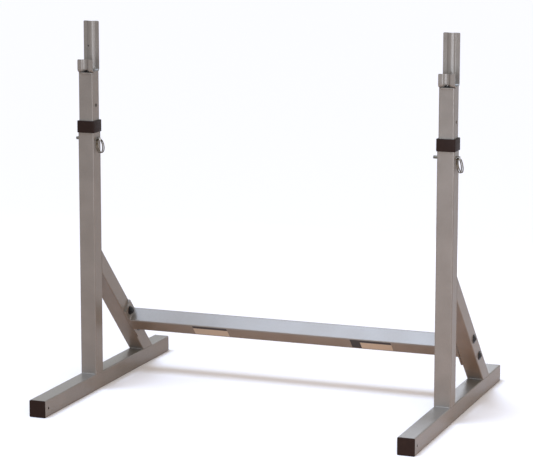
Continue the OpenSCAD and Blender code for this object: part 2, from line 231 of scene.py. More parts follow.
class StageSettings(bpy.types.PropertyGroup):
    """The camera, lamps, floor and white ground."""
    camera: FloatVectorProperty(
        name="Camera", description="Place of the camera", default=(2.2612, -6.035, 1.6751), precision=5,
        unit="LENGTH", subtype="TRANSLATION")
    camera_turn: degrees("Camera turn", "Turn of the camera to the left", 20.98)
    camera_dip: degrees("Camera dip", "Angle of the camera below level", 9.176)
    lens: number("Lens", "Focal length in millimetres", 148.97, unit="CAMERA")
    shift_x: number("Shift X", "Sideways shift of the lens", 0.02)
    shift_y: number("Shift Y", "Upward shift of the lens", -0.0882)
    key: number("Key", "Strength of the soft sun overhead", 2.55)
    key_tint: colour("Key tint", "Tone of the sun", "#cee0ff")
    key_size: degrees("Key size", "Angle across the sun's disc", 26)
    key_turn: degrees("Key turn", "Turn of the sun about Z, counted from the front", -36)
    key_height: degrees("Key height", "Height of the sun above the floor", 71)
    box_power: number("Box power", "Power of the soft box at the front right", 90, unit="POWER")
    rear_power: number("Rear power", "Power of the soft box behind the stand", 7, unit="POWER")
    box_tint: colour("Box tint", "Tone of both soft boxes", "#e2eafc")
    sky: number("Sky", "Strength of the even light all round", 0.5)
    sky_tint: colour("Sky tint", "Tone of the even light all round", "#ffeedd")
    ground: colour("Ground", "Colour of the floor", "#fffdfa")
    backdrop: colour("Backdrop", "Colour of the ground behind the stand", "#fbfbfb")
    bounce_left: colour("Left bounce", "Tone of the light from the floor on the left", "#d09258")
    bounce_right: colour("Right bounce", "Tone of the light from the floor on the right", "#f2a050")
    bounce_far: colour("Far bounce", "Tone of the light from the floor far off", "#928d86")


def faces_of_grid(rows, columns, ring=False):
    """Four-sided faces between neighbours of a grid of points. With ring, the last column joins the first."""
    row = np.arange(rows - 1)[:, None] * columns
    column = np.arange(columns if ring else columns - 1)[None, :]
    after = (column + 1) % columns
    corners = [row + column, row + after, row + columns + after, row + columns + column]
    return np.stack(corners, axis=-1).reshape(-1, 4).tolist()


def mesh_object(name, points, faces, smooth_below=35, merge=0.001 * MM):
    """A mesh object at the origin, with doubles merged, faces outwards, and edges sharp above an angle."""
    mesh = bpy.data.meshes.new(name)
    mesh.from_pydata(np.asarray(points).reshape(-1, 3).tolist(), [], faces)
    work = bmesh.new()
    work.from_mesh(mesh)
    bmesh.ops.remove_doubles(work, verts=work.verts, dist=merge)
    bmesh.ops.dissolve_degenerate(work, edges=work.edges, dist=merge)
    bmesh.ops.recalc_face_normals(work, faces=work.faces)
    work.to_mesh(mesh)
    work.free()
    mesh.shade_smooth()
    mesh.set_sharp_from_angle(angle=math.radians(smooth_below))
    piece = bpy.data.objects.new(name, mesh)
    bpy.context.scene.collection.objects.link(piece)
    return piece


def dress(piece, body, slot, finish, *nodes):
    """Lets a piece ride on a body, gives it its material, and stands it in for the named nodes."""
    piece.data.materials.append(bpy.data.materials[finish])
    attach(piece, body)
    if nodes:
        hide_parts(*nodes)


def put(points, middle, right, forward, upward):
    """Turns local points into the stand's frame: middle plus x right, y forward and z upward."""
    return np.asarray(middle) + points @ np.stack([right, forward, upward])


def rounded_outline(width, height, radius, steps=6):
    """Points round a rectangle with round corners: each corner is a quarter circle about its own centre."""
    angle = np.linspace(0, QUARTER, steps)
    points = []
    for quarter, (x, y) in enumerate(((1, 1), (-1, 1), (-1, -1), (1, -1))):
        turned = angle + quarter * QUARTER
        points.append(np.stack([
            x * (width / 2 - radius) + radius * np.cos(turned),
            y * (height / 2 - radius) + radius * np.sin(turned)], axis=1))
    return np.concatenate(points)


def turned_in(profile, width, height, radius, least=0.4 * MM):
    """Rows of a solid round a rectangle. The profile says how far each row is drawn in, and its height."""
    rows = []
    for inset, level in profile:
        drawn = rounded_outline(width - 2 * inset, height - 2 * inset, max(radius - inset, least))
        rows.append(np.column_stack([drawn, np.full(len(drawn), level)]))
    return np.array(rows)


def closed_by_fans(rows):
    """Points and faces of a grid of closed rows whose first and last row are filled by one face each."""
    count, columns, _ = rows.shape
    faces = faces_of_grid(count, columns, ring=True)
    faces.append(list(range(columns))[::-1])
    faces.append(list(range((count - 1) * columns, count * columns)))
    return rows.reshape(-1, 3), faces


def joined(shapes):
    """Points and faces of several shapes as one."""
    points, faces, count = [], [], 0
    for shape_points, shape_faces in shapes:
        points.append(shape_points)
        faces += [[corner + count for corner in face] for face in shape_faces]
        count += len(shape_points)
    return np.concatenate(points), faces


def set_inputs(tree, node, inputs):
    """Sets or links a node's inputs, given by name or as a list in order. A colour has three numbers."""
    sockets = [socket for socket in node.inputs if socket.enabled]
    if isinstance(inputs, dict):
        named = {socket.name: socket for socket in sockets}
        sockets, inputs = [named[name] for name in inputs], inputs.values()
    for socket, value in zip(sockets, inputs):
        if isinstance(value, bpy.types.NodeSocket):
            tree.links.new(value, socket)
        else:
            socket.default_value = (*value, 1) if socket.type == "RGBA" else value


def add_node(tree, kind, inputs=(), output=None, **settings):
    """Adds a shader node with its settings and inputs. Returns its named output, or the first in use."""
    made = tree.nodes.new("ShaderNode" + kind)
    for name, value in settings.items():
        setattr(made, name, value)
    set_inputs(tree, made, inputs)
    in_use = (found for found in made.outputs if found.enabled)
    return made.outputs[output] if output else next(in_use, None)


def new_finish(name):
    """An empty material with its node tree, its surface shader and the object's own coordinates."""
    finish = bpy.data.materials.new(name)
    finish.use_nodes = True
    tree = finish.node_tree
    return finish, tree, tree.nodes["Principled BSDF"], add_node(tree, "TexCoord", output="Object")


def drain_place(sizes):
    """Where the drain hole's axis meets the rear of the left hook."""
    low, high = node_box("left_bar_hook")
    return (low[0] + high[0]) / 2 - sizes.drain_aside, high[1], low[2] + sizes.drain_height


def bare_and_shade_share(tree, place, hooks, tube_skin=1.2 * MM, hole_skin=0.3 * MM):
    """1 where the coat is dark: inside the base tubes, at the walls of their holes, and in the drain hole.

    That dark colour is bare steel, made darker as painted shade in these hollows. The drain hole is blind, and
    its floor and the same round spot on the hook's rear are painted shade that makes it read as a through hole.
    Inside a base tube, the larger of the distances from its axis in X and Z is less than half its width. The
    paint ends one skin inside the tube's faces, and one skin outside the drain hole.
    """
    low, high = node_box("right_base_tube")
    middle, reach = (low + high) / 2 * (ACROSS + UP), (high[0] - low[0]) / 2 - tube_skin
    sides = add_node(tree, "VectorMath", [place], operation="ABSOLUTE")
    off_axis = add_node(tree, "VectorMath", [sides, middle], operation="SUBTRACT")
    off_axis = add_node(tree, "VectorMath", [off_axis], operation="ABSOLUTE")
    parts = [add_node(tree, "SeparateXYZ", [off_axis], output=axis) for axis in "XZ"]
    farther = add_node(tree, "Math", parts, operation="MAXIMUM")
    inside = add_node(tree, "Math", [farther, reach], operation="LESS_THAN")
    from_drain = add_node(tree, "VectorMath", [place, drain_place(hooks)], operation="SUBTRACT")
    flat = add_node(tree, "VectorMath", [from_drain, ACROSS + UP], operation="MULTIPLY")
    away = add_node(tree, "VectorMath", [flat], operation="LENGTH")
    drained = add_node(tree, "Math", [away, hooks.drain / 2 + hole_skin], operation="LESS_THAN")
    return add_node(tree, "Math", [inside, drained], operation="MAXIMUM")


def powder_coat(colours, hooks, flake_size=0.8 * MM, cloud_size=60 * MM, peel_size=2.2 * MM, peel=0.05 * MM):
    """Silver-grey powder coat, sprayed and baked: satin, with fine flake and a faint orange peel."""
    finish, tree, shader, place = new_finish("silver_powder_coat")
    flake, cloud, height = (
        add_node(tree, "TexNoise", {"Vector": place, "Scale": 1 / size, "Detail": detail})
        for size, detail in ((flake_size, 3), (cloud_size, 1), (peel_size, 2)))
    flakes = add_node(tree, "MapRange", {"Value": flake, "From Min": 0.45, "From Max": 0.7, "To Max": 0.55})
    clouds = add_node(tree, "MapRange", {"Value": cloud, **NOISE_SPAN, "To Max": 0.18})
    light = add_node(tree, "Math", [flakes, clouds], operation="ADD")
    painted = add_node(tree, "Mix", [light, colours.paint, colours.paint_flake], data_type="RGBA")
    # Painted shade: dark bare-steel colour inside the base tubes and their holes, and in and behind the blind
    # drain hole
    bare_and_shade = bare_and_shade_share(tree, place, hooks)
    roughness = add_node(tree, "MapRange", {"Value": cloud, **NOISE_SPAN, "To Min": 0.31, "To Max": 0.37})
    set_inputs(tree, shader, {
        "Base Color": add_node(tree, "Mix", [bare_and_shade, painted, colours.bare_and_shade], data_type="RGBA"),
        "Roughness": roughness, "Metallic": 0.25, "Specular IOR Level": 0.15,
        "Normal": add_node(tree, "Bump", {"Height": height, "Distance": peel, "Strength": 0.35})})
    return finish


def mottled(tree, place, tone, factor, size, start, full, most, low, high, **noise):
    """A colour that is factor times itself in spots of one size, and a roughness that goes with them.

    A spot starts and is full at two levels of the noise pattern, and shows at most this much. The roughness
    goes from low to high.
    """
    spot = add_node(tree, "TexNoise", {"Vector": place, "Scale": 1 / size, **noise})
    share = add_node(tree, "MapRange", {"Value": spot, "From Min": start, "From Max": full, "To Max": most})
    roughness = add_node(tree, "MapRange", {"Value": spot, **NOISE_SPAN, "To Min": low, "To Max": high})
    other = np.minimum(1, factor * np.array(tone))
    return add_node(tree, "Mix", [share, tone, other], data_type="RGBA"), roughness


def moulded_plastic(tone, scuff_size=14 * MM, grain_size=0.9 * MM, grain=0.06 * MM):
    """Black polyethylene from a mould: a soft sheen, a fine matt grain and faint scuffs."""
    finish, tree, shader, place = new_finish("black_moulded_plastic")
    scuffed, roughness = mottled(
        tree, place, tone, factor=1.5, size=scuff_size, start=0.5, full=0.75, most=0.6, low=0.42, high=0.56,
        Detail=4, Roughness=0.65)
    height = add_node(tree, "TexNoise", {"Vector": place, "Scale": 1 / grain_size, "Detail": 2})
    set_inputs(tree, shader, {
        "Base Color": scuffed, "Roughness": roughness, "Specular IOR Level": 0.08,
        "Normal": add_node(tree, "Bump", {"Height": height, "Distance": grain, "Strength": 0.4})})
    return finish


def black_steel(tone, spot_size=3 * MM):
    """Black oxide on steel: dark, half gloss, with a trace of bare metal."""
    finish, tree, shader, place = new_finish("black_oxide_steel")
    worn, roughness = mottled(
        tree, place, tone, factor=2.2, size=spot_size, start=0.5, full=0.75, most=0.7, low=0.3, high=0.45,
        Detail=4, Roughness=0.6)
    set_inputs(tree, shader, {"Base Color": worn, "Roughness": roughness, "Metallic": 0.5})
    return finish


def tip_share(tree, place):
    """1 in a ball round each locking pin's tip, where it comes out of its upright, and 0 elsewhere.

    The ball's radius is three quarters of the length that shows, and its centre is the middle of it.
    """
    tipped = 0.0
    for side in OUTWARD:
        low, high = node_box(f"{side}_locking_pin")
        stub = node_box(f"{side}_fixed_upright")[0][0] - low[0]
        tip = (low + high) / 2 * (BACK + UP) + (low[0] + stub / 2) * ACROSS
        away = add_node(tree, "VectorMath", [place, tip], operation="DISTANCE")
        near = add_node(tree, "Math", [away, 3 * stub / 4], operation="LESS_THAN")
        tipped = add_node(tree, "Math", [tipped, near], operation="MAXIMUM")
    return tipped


def plated(name, tone, grain_size, low, high, tips=None):
    """Plated steel: full metal, with a fine drawn or turned grain in its roughness.

    With tips, the ends of the locking pins have that colour, worn dark from sliding through the holes.
    """
    finish, tree, shader, place = new_finish(name)
    metal, roughness = mottled(
        tree, place, tone, factor=0.72, size=grain_size, start=0.35, full=0.7, most=0.8, low=low, high=high,
        Detail=3)
    if tips is not None:
        metal = add_node(tree, "Mix", [tip_share(tree, place), metal, tips], data_type="RGBA")
    set_inputs(tree, shader, {"Base Color": metal, "Roughness": roughness, "Metallic": 1.0})
    return finish


def label_film(name, tone, wave_size=9 * MM, depth=0.1 * MM, darkening=0.9):
    """Vinyl film of a blank label: smooth, half gloss, with a faint waviness from being stuck on."""
    _, tree, shader, place = new_finish(name)
    wave = add_node(tree, "TexNoise", {"Vector": place, "Scale": 1 / wave_size, "Detail": 2})
    darker = darkening * np.array(tone)
    set_inputs(tree, shader, {
        "Base Color": add_node(tree, "Mix", [wave, tone, darker], data_type="RGBA"),
        "Normal": add_node(tree, "Bump", {"Height": wave, "Distance": depth, "Strength": 0.3}),
        "Roughness": 0.38, "Specular IOR Level": 0.25})


class SQUATSTAND_OT_finishes(bpy.types.Operator):
    """Make the finishes and put them on the frame's own parts"""
    bl_idname = "squat_stand.finishes"
    bl_label = "Finishes"

    def execute(self, context):
        colours = context.scene.squat_stand_colours
        by_slot = {
            "paint": powder_coat(colours, context.scene.squat_stand_hooks),
            "black_plastic": moulded_plastic(colours.plastic),
            "black_steel": black_steel(colours.bolt),
            "zinc": plated("zinc_plated_steel", colours.zinc, 1.2 * MM, 0.28, 0.42, tips=colours.tip),
            # The wire's bronze-brown tone is a painted reflection of a warm floor on nickel plating
            "nickel": plated("nickel_wire_with_painted_warm_reflection", colours.wire, 1.5 * MM, 0.25, 0.38)}
        label_film("pale_label_film", colours.label)
        label_film("dark_label_film", colours.band)
        for part in frame["record"]["subparts"]:
            for slot in frame["nodes"][part["node"]].material_slots:
                slot.material = by_slot[part["material_slot"]]
        return {"FINISHED"}


def rib_rise(across, sizes):
    """Height of the pressed rib at each distance from its middle.

    The top is an arc of radius R through the rib's height h and half width b, with R = (b^2 + h^2) / 2h. A
    fillet of radius f stands on the flat at the distance where it touches that arc, and runs into it.
    """
    half, rise, fillet = sizes.rib_width / 2, sizes.rib_height, sizes.rib_fillet
    arc = (half ** 2 + rise ** 2) / (2 * rise)
    sink = arc - rise
    foot = math.sqrt((arc + fillet) ** 2 - (sink + fillet) ** 2)
    touch = foot * arc / (arc + fillet)
    x = np.abs(across)
    top = np.sqrt(np.maximum(arc ** 2 - x ** 2, 0)) - sink
    low = fillet - np.sqrt(np.maximum(fillet ** 2 - (foot - x) ** 2, 0))
    return np.where(x < touch, top, np.where(x < foot, low, 0.0))


def hook_path(low, high, sizes, straight=14, bend=12):
    """The hook's bar face from the top of its back, down, through both bends, and up its lip.

    The turn a goes from 0 on the back to 180 degrees on the lip. A point is its bend's centre plus
    r (cos a, -sin a), lifted on the two straight ends. Returns places in Y and Z, directions towards the bar,
    and the distance along the path.
    """
    level = low[2] + sizes.thickness + sizes.bend
    first, second = high[1] - sizes.thickness - sizes.bend, low[1] + sizes.thickness + sizes.bend
    quarter, end = np.linspace(0, QUARTER, bend), np.zeros(straight - 1)
    turns = np.concatenate([end, quarter, quarter + QUARTER, end + 2 * QUARTER])
    centres = np.repeat([first, second], len(turns) // 2)
    lift = np.zeros(len(turns))
    lift[:straight] = np.linspace(high[2] - level, 0, straight)
    lift[-straight:] = np.linspace(0, low[2] + sizes.lip_height - level, straight)
    places = np.column_stack([
        centres + sizes.bend * np.cos(turns), level + lift - sizes.bend * np.sin(turns)])
    towards = np.column_stack([-np.cos(turns), np.sin(turns)])
    along = np.concatenate([[0], np.cumsum(np.linalg.norm(np.diff(places, axis=0), axis=1))])
    return places, towards, along


def end_rows(along, corner, steps=6):
    """Where to cut the strip across: at the path's own points, and closer in the corners at its ends."""
    total = along[-1]
    inside = along[(along > corner) & (along < total - corner)]
    near = corner * (1 - np.cos(np.linspace(0, QUARTER, steps)))
    return np.concatenate([near, inside, total - near[::-1]])


def hook_shell(side, sizes, columns=61):
    """Points and faces of one bar hook.

    At distance s along the path and v across it, the bar face is path(s) + rise(v) towards the bar. The rear
    face lies one strip thickness under it, along its normal. Near the two ends the strip narrows by
    r - sqrt(r^2 - (r - s)^2), which rounds its corners. A row of the grid goes over the face and back under.
    """
    low, high = node_box(f"{side}_bar_hook")
    middle, half = (low[0] + high[0]) / 2, (high[0] - low[0]) / 2
    places, towards, along = hook_path(low, high, sizes)
    cuts = end_rows(along, sizes.corner)
    path, facing = (
        np.column_stack([np.interp(cuts, along, part) for part in parts.T]) for parts in (places, towards))
    facing /= np.linalg.norm(facing, axis=1)[:, None]
    inward = np.maximum(sizes.corner - np.minimum(cuts, along[-1] - cuts), 0)
    reach = half - sizes.corner + np.sqrt(np.maximum(sizes.corner ** 2 - inward ** 2, 0))
    across = reach[:, None] * np.linspace(-1, 1, columns)
    rise = rib_rise(across, sizes)
    lifted = path[:, None, :] + facing[:, None, :] * rise[..., None]
    face = np.concatenate([middle + across[..., None], lifted], axis=-1)
    slope = np.gradient(rise, axis=1) / np.gradient(across, axis=1)
    tilt = np.sqrt(1 + slope ** 2)
    normal = np.stack([-slope / tilt, facing[:, :1] / tilt, facing[:, 1:] / tilt], axis=-1)
    rear = face - sizes.thickness * normal
    rear[..., 0] = np.clip(rear[..., 0], middle - reach[:, None], middle + reach[:, None])
    rows = np.concatenate([face, rear[:, ::-1]], axis=1)
    last, near = (len(cuts) - 1) * 2 * columns, np.arange(columns - 1)
    end = np.stack([near, near + 1, 2 * columns - 2 - near, 2 * columns - 1 - near], axis=1)
    return rows, faces_of_grid(*rows.shape[:2], ring=True) + end.tolist() + (end + last).tolist()


def drill(piece, place, diameter, reach, sides=32):
    """Sinks a round hole along Y into a piece, with a cylinder that is then removed.

    The hole runs forwards from its bottom at the given place.
    """
    work = bmesh.new()
    turn = (
        Matrix.Translation(place) @ Matrix.Rotation(QUARTER, 4, "X") @ Matrix.Translation((0, 0, reach / 2)))
    radius = diameter / 2
    bmesh.ops.create_cone(
        work, cap_ends=True, segments=sides, radius1=radius, radius2=radius, depth=reach, matrix=turn)
    mesh = bpy.data.meshes.new("drill")
    work.to_mesh(mesh)
    work.free()
    cutter = bpy.data.objects.new("drill", mesh)
    bpy.context.scene.collection.objects.link(cutter)
    cut = piece.modifiers.new("hole", "BOOLEAN")
    cut.object, cut.operation, cut.solver = cutter, "DIFFERENCE", "EXACT"
    graph = bpy.context.evaluated_depsgraph_get()
    cut_mesh = bpy.data.meshes.new_from_object(piece.evaluated_get(graph))
    piece.modifiers.clear()
    piece.data = cut_mesh
    bpy.data.objects.remove(cutter)


class SQUATSTAND_OT_hooks(bpy.types.Operator):
    """Press the two bar hooks from ribbed steel strip"""
    bl_idname = "squat_stand.hooks"
    bl_label = "Bar hooks"

    def execute(self, context):
        sizes = context.scene.squat_stand_hooks
        for side in OUTWARD:
            piece = mesh_object(f"{side}_pressed_hook", *hook_shell(side, sizes))
            if side == "left":
                x, rear, z = drain_place(sizes)
                bottom = rear - rib_rise(sizes.drain_aside, sizes) - sizes.drain_floor
                drill(piece, (x, bottom, z), sizes.drain, reach=sizes.rib_width)
            rounding = piece.modifiers.new("cut_edges", "BEVEL")
            rounding.width, rounding.segments, rounding.limit_method = sizes.edge, 2, "ANGLE"
            rounding.angle_limit = math.radians(ROUNDED_ABOVE)
            dress(piece, f"{side}_slider", "paint", "silver_powder_coat", f"{side}_bar_hook")
        return {"FINISHED"}


def split_ring(pivot, sizes, step=4, sides=20, start=18, crossing=(345, 375), tip_rows=4, blunt=6.875):
    """Points and faces of one split ring that hangs from a pivot. Steps and turns are in degrees.

    The wire goes round a circle twice, from just after its lowest point to just before it. It stays in one
    plane for the first turn, moves over by one wire and a gap with 3t^2 - 2t^3, and stays there for the
    second. The turns gape by g (1 + cos a) / 2 more towards the bottom, where their ends are free. Both ends
    are rounded: the last rings of points shrink like a quarter circle.
    """
    radius = (sizes.outside - sizes.wire) / 2
    turn = np.arange(start, 2 * 360 - start + step, step)
    share, angle = np.interp(turn, crossing, (0, 1)), np.radians(turn)
    gap = sizes.split + sizes.gape * (1 + np.cos(angle)) / 2
    aside = (sizes.wire + gap) * (3 * share ** 2 - 2 * share ** 3 - 0.5)
    round_end = np.sin(np.linspace(math.radians(blunt), QUARTER, tip_rows))
    thick = np.ones(len(angle))
    thick[:tip_rows], thick[-tip_rows:] = round_end, round_end[::-1]
    outward = np.sin(angle)[:, None] * BACK - np.cos(angle)[:, None] * UP
    middle = aside[:, None] * ACROSS + radius * (outward - UP)
    round_wire = np.linspace(0, 2 * math.pi, sides, endpoint=False)[None, :, None]
    reach = sizes.wire / 2 * thick[:, None, None]
    rows = middle[:, None, :] + reach * (
        np.cos(round_wire) * ACROSS + np.sin(round_wire) * outward[:, None, :])
    points, faces = closed_by_fans(rows)
    right = math.cos(sizes.lean) * ACROSS + math.sin(sizes.lean) * UP
    upward = math.cos(sizes.lean) * UP - math.sin(sizes.lean) * ACROSS
    return put(points, pivot, right, BACK, upward), faces


class SQUATSTAND_OT_rings(bpy.types.Operator):
    """Wind the two split rings of the locking pins"""
    bl_idname = "squat_stand.rings"
    bl_label = "Pull rings"

    def execute(self, context):
        for side in OUTWARD:
            name = f"{side}_ring_swing"
            pivot = next(joint["pos_m"] for joint in frame["joints"] if joint["name"] == name)
            shape = split_ring(pivot, context.scene.squat_stand_rings)
            piece = mesh_object(f"{side}_split_ring", *shape, merge=0.0001 * MM)
            dress(piece, f"{side}_ring", "nickel", "nickel_wire_with_painted_warm_reflection", f"{side}_pull_ring")
        return {"FINISHED"}


def arc(inset, level, radius, start, end, steps=6):
    """Points on an arc as (inset, level) pairs. 180 degrees faces out, 90 up, 0 in and -90 down."""
    angle = np.radians(np.linspace(start, end, steps))
    return list(zip(inset + radius * np.cos(angle), level + radius * np.sin(angle)))


def collar_profile(height, bore, sizes):
    """Section of a collar: up its outside, over its rim, down its narrow bore, and down its wide skirt."""
    edge = sizes.collar_edge
    skirt = sizes.collar_wall - sizes.cap_gap
    small = edge / 3
    return (
        arc(edge, edge, edge, -90, -180)
        + arc(edge, height - edge, edge, 180, 90)
        + arc(bore - edge, height - edge, edge, 90, 0)
        + [(bore, sizes.collar_skirt), (skirt, sizes.collar_skirt)]
        + arc(skirt - small, small, small, 0, -90))


def cap_profile(depth, wall, sizes):
    """Section of an end cap: its flat face, rounded rim, the step to its plug, and the hollow in the plug."""
    edge = sizes.cap_edge
    plug = wall + sizes.cap_gap
    inside = plug + sizes.cap_wall
    lead = sizes.cap_wall / 4
    return (
        [(4 * edge, 0)] + arc(edge, edge, edge, -90, -180)
        + [(0, sizes.cap_plate), (plug, sizes.cap_plate)]
        + [(plug, depth - lead), (plug + lead, depth), (inside, depth)]
        + [(inside, sizes.cap_plate + sizes.cap_wall)])


class SQUATSTAND_OT_moulded(bpy.types.Operator):
    """Mould the collars and the end caps with rounded rims"""
    bl_idname = "squat_stand.moulded"
    bl_label = "Collars and caps"

    def execute(self, context):
        sizes, tubes = context.scene.squat_stand_moulded, context.scene.squat_stand_tubes
        for side in OUTWARD:
            low, high = node_box(f"{side}_collar")
            width = high[0] - low[0]
            bore = node_box(f"{side}_inner_upright")[0][0] - low[0] - sizes.collar_guide
            profile = collar_profile(high[2] - low[2], bore, sizes)
            rows = turned_in(profile + profile[:1], width, width, tubes.corner + sizes.collar_wall / 3)
            points = put(rows, (low + high) / 2 * (ACROSS + BACK) + low * UP, ACROSS, BACK, UP)
            made = [("collar", points, faces_of_grid(*rows.shape[:2], ring=True))]
            for end, inward in (("front", BACK), ("rear", -BACK)):
                low, high = node_box(f"{side}_{end}_cap")
                width = high[0] - low[0]
                profile = cap_profile(high[1] - low[1], tubes.wall, sizes)
                points, faces = closed_by_fans(turned_in(profile, width, width, tubes.corner))
                middle = (low + high) / 2 * (ACROSS + UP) + (low if end == "front" else high) * BACK
                made.append((f"{end}_cap", put(points, middle, ACROSS, UP, inward), faces))
            for name, points, faces in made:
                piece = mesh_object(f"{side}_moulded_{name}", points, faces)
                dress(piece, "frame", "black_plastic", "black_moulded_plastic", f"{side}_{name}")
        return {"FINISHED"}


def hexagon_reach(angle, across):
    """Distance from the middle of a hexagon to its side, at each angle: half its width over a cosine."""
    return across / 2 / np.cos((angle + math.pi / 6) % (math.pi / 3) - math.pi / 6)


def polar_rows(angle, pairs):
    """Rows of a turned shape: each pair is the distance from the axis and the height, at each angle."""
    x, y, flat = np.cos(angle), np.sin(angle), np.zeros(len(angle))
    return np.array([np.column_stack([reach * x, reach * y, level + flat]) for reach, level in pairs])


def thread_rows(angle, radius, start, end, pitch, steps=90):
    """A thread: the distance from the axis is radius - depth * triangle(height / pitch + angle / 360)."""
    pairs = []
    for level in np.linspace(start, end, steps):
        phase = (level / pitch + angle / (2 * math.pi)) % 1
        pairs.append((radius - THREAD_DEPTH * pitch * np.abs(2 * phase - 1), level))
    return pairs


def domed_bolt(total, sizes, sides=72, dome_rows=8, dome_start=1.3, dome_end=0.96, rim_start=0.99,
               rim=0.35 * MM, socket_edge=0.3 * MM, tip=1.2 * MM, tip_height=1 * MM):
    """A domed bolt from the middle of its key socket, over its head, to the end of its thread.

    Height 0 is the top of the head, and the bolt goes down from there. The dome is an arc through the head's
    height h and radius b, with R = (b^2 + h^2) / 2h. Its round rows start at a share of the socket's radius
    and end at a share of the head's, and its straight rim starts at another share of that.
    """
    angle = np.linspace(0, 2 * math.pi, sides, endpoint=False)
    half, rise, shank = sizes.head / 2, sizes.head_height, sizes.thread / 2
    bow = (half ** 2 + rise ** 2) / (2 * rise)

    def dome(reach):
        return np.sqrt(bow ** 2 - np.asarray(reach) ** 2) - bow

    socket = hexagon_reach(angle, sizes.socket)
    outer = socket + socket_edge
    neck = sizes.threaded - total
    pairs = [(socket, -sizes.socket_depth), (socket, dome(socket) - socket_edge), (outer, dome(outer))]
    pairs += [(x, dome(x)) for x in np.linspace(sizes.socket / 2 * dome_start, half * dome_end, dome_rows)]
    pairs += [(half * rim_start, rim - rise), (half, rim - rise), (half, -rise), (shank, -rise)]
    pairs += [(shank, neck)] + thread_rows(angle, shank, neck, tip_height - total, sizes.pitch)
    pairs += [(shank - tip, -total)]
    return closed_by_fans(polar_rows(angle, pairs))


def chamfered_nut(sizes, sides=72, face_share=0.95, edge=0.6 * MM, play=0.1 * MM):
    """A hexagonal nut with a bore. A cone of 30 degrees cuts its corners at both faces.

    At a corner the side stops below the face by (distance - face radius) * tan(30 degrees).
    """
    angle = np.linspace(0, 2 * math.pi, sides, endpoint=False)
    side = hexagon_reach(angle, sizes.nut_across)
    face, bore, height = face_share * sizes.nut_across / 2, sizes.thread / 2 + play, sizes.nut_height
    drop = np.maximum(side - face, 0) * math.tan(math.pi / 6)
    rows = polar_rows(angle, [
        (bore, edge), (bore + edge, 0), (face, 0), (side, drop), (side, height - drop), (face, height),
        (bore + edge, height), (bore, height - edge), (bore, edge)])
    return rows.reshape(-1, 3), faces_of_grid(*rows.shape[:2], ring=True)


class SQUATSTAND_OT_fasteners(bpy.types.Operator):
    """Turn the domed bolts and their chamfered nuts"""
    bl_idname = "squat_stand.fasteners"
    bl_label = "Bolts and nuts"

    def execute(self, context):
        sizes = context.scene.squat_stand_fasteners
        for side, outward in OUTWARD.items():
            low, high = node_box(f"{side}_bolts")
            middle = (low + high) / 2
            apart = (high[2] - low[2]) - sizes.head
            nut_low, nut_high = node_box(f"{side}_nuts")
            head_face, nut_face = (high[0], nut_low[0]) if outward > 0 else (low[0], nut_high[0])
            for kind, (points, faces), face in (
                    ("bolts", domed_bolt(high[0] - low[0], sizes), head_face),
                    ("nuts", chamfered_nut(sizes), nut_face)):
                shapes = []
                for step in (-apart / 2, apart / 2):
                    place = face * ACROSS + (middle[1] + step) * BACK + (middle[2] - step) * UP
                    shapes.append((put(points, place, BACK, UP, outward * ACROSS), faces))
                piece = mesh_object(f"{side}_black_{kind}", *joined(shapes))
                dress(piece, "frame", "black_steel", "black_oxide_steel", f"{side}_{kind}")
        return {"FINISHED"}


def bead(start, end, first, second, leg, sizes, rows=6, columns=9, bow=0.24, root=0.12, drift=0.06,
         drift_reach=5.1, drift_shift=90, least=0.02):
    """One weld bead along a straight joint.

    first and second lie along the two walls. At a share t across, a point is (1 - t) first + t second legs
    away, pushed out by bow * sin(pi t), and the root lies behind the joint. Along the joint the leg swells
    with |sin| of the place over the ripple, drifts with a slow sine that starts differently at each joint,
    and runs down at both ends to the least size. Each ripple has this many rows of points.
    """
    span = np.linalg.norm(end - start)
    place = np.linspace(0, span, int(span / sizes.ripple * rows))
    swell = 1 - sizes.depth * (1 - np.abs(np.sin(math.pi * place / sizes.ripple)))
    swell *= 1 + drift * np.sin(place / (drift_reach * sizes.ripple) + start.sum() * drift_shift)
    taper = np.sqrt(np.clip(np.minimum(place, span - place) / leg, least, 1))
    across = np.linspace(0, 1, columns)[:, None]
    out = (first + second) / np.linalg.norm(first + second)
    shape = (1 - across) * first + across * second + bow * np.sin(math.pi * across) * out
    shape = np.concatenate([shape, -root * out[None, :]])
    size = (leg * swell * taper)[:, None, None]
    line = start + place[:, None] / span * (end - start)
    return closed_by_fans(line[:, None, :] + size * shape)


def beam_half(corner):
    """Half the width of the cross beam's tube, worked out from its height on edge."""
    low, high = node_box("cross_beam")
    return ((high[2] - low[2]) / 2 + CORNER_LOSS * corner) * DIAGONAL


